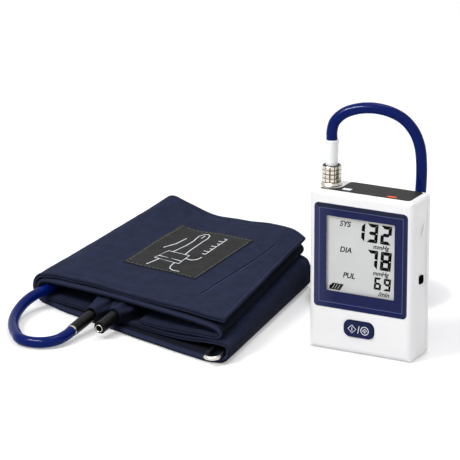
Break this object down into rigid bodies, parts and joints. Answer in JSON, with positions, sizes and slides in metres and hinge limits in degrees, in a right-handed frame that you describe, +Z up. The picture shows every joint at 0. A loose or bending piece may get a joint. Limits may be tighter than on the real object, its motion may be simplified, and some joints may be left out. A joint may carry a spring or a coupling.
{
  "type": "ambulatory blood pressure monitor",
  "caption": "Pocket-size blood pressure recorder with a large display and a start button, joined by a screwed air connector and hose to a folded cloth arm cuff.",
  "frame": {"origin": "centre of the recorder's flat base, where it stands on the table", "axes": "+Z up, -Y out of the display, +X to the right as the display is read; the folded cuff lies to -X"},
  "size_m": [0.2479, 0.2274, 0.1441],
  "materials": {
    "case_white": "smooth, slightly satin white",
    "bright_metal": "nickel plated",
    "bezel_blue": "glossy dark blue",
    "clear_window": "clear",
    "display_glass": "grey-green reflective display",
    "ivory_plastic": "moulded",
    "contact_rubber": "soft",
    "board_green": "lacquered circuit board",
    "black_plastic": "moulded",
    "button_blue": "satin blue",
    "dark_plate": "printed dark plate",
    "black_rubber": "soft",
    "brass": "turned",
    "pale_sleeve": "pale grey",
    "clear_silicone": "milky silicone",
    "motor_steel": "drawn can",
    "copper_winding": "wound copper on steel",
    "cell_wrap": "plain dark wrapper",
    "cuff_cloth": "fine dark navy weave",
    "bladder_rubber": "thin sheet",
    "label_cloth": "black woven label",
    "hose_blue": "glossy dark blue tube"
  },
  "bodies": {
    "monitor": {"front_case": "case_white", "rear_case": "case_white", "case_screws": "bright_metal", "display_bezel": "bezel_blue", "display_window": "clear_window", "lcd_panel": "display_glass", "lcd_holder": "ivory_plastic", "lcd_contact_strips": "contact_rubber", "main_board": "board_green", "button_switch": "black_plastic", "top_plate": "dark_plate", "data_socket": "black_plastic", "air_socket": "bright_metal", "socket_nut": "bright_metal", "socket_seal": "black_rubber", "plug_nipple": "brass", "plug_sleeve": "pale_sleeve", "air_pipes": "clear_silicone", "pump_motor": "motor_steel", "pump_head": "black_plastic", "exhaust_valve": "black_plastic", "pressure_sensor": "black_plastic", "beeper": "black_plastic", "battery_cells": "cell_wrap", "battery_springs": "bright_metal", "battery_plates": "bright_metal", "cuff_outer_cloth": "cuff_cloth", "cuff_bladder": "bladder_rubber", "cuff_lining": "cuff_cloth", "cuff_label": "label_cloth", "cuff_bar": "bright_metal", "hose_port": "black_plastic", "hose_port_ring": "bright_metal", "hose_port_cloth": "cuff_cloth", "spare_port": "black_plastic", "spare_port_ring": "bright_metal", "spare_port_cloth": "cuff_cloth", "hose_arch": "hose_blue", "hose_coil": "hose_blue", "hose_tail": "hose_blue"},
    "start_button": {"start_button": "button_blue", "switch_plunger": "black_plastic"},
    "screw_collar": {"plug_collar": "bright_metal"},
    "pump_rotor": {"pump_rotor": "copper_winding"},
    "valve_plunger": {"valve_plunger": "motor_steel"},
    "battery_cover": {"battery_cover": "case_white"}
  },
  "joints": [
    {"name": "button_press", "type": "slide", "parent": "monitor", "child": "start_button", "axis": [0, 1, 0], "range_m": [0, 0.0007], "stiffness_N_per_m": 700, "springref_m": -0.0004},
    {"name": "collar_turn", "type": "hinge", "parent": "monitor", "child": "screw_collar", "pos_m": [-0.024, -0.001, 0.1], "axis": [0, 0, 1], "range_deg": [0, 540]},
    {"name": "pump_spin", "type": "hinge", "parent": "monitor", "child": "pump_rotor", "pos_m": [0.004, 0.003, 0.04735], "axis": [1, 0, 0], "continuous": true},
    {"name": "valve_close", "type": "slide", "parent": "monitor", "child": "valve_plunger", "axis": [0, 0, -1], "range_m": [0, 0.001], "stiffness_N_per_m": 150, "springref_m": -0.001},
    {"name": "battery_cover_slide", "type": "slide", "parent": "monitor", "child": "battery_cover", "axis": [0, 0, -1], "range_m": [0, 0.005]}
  ]
}
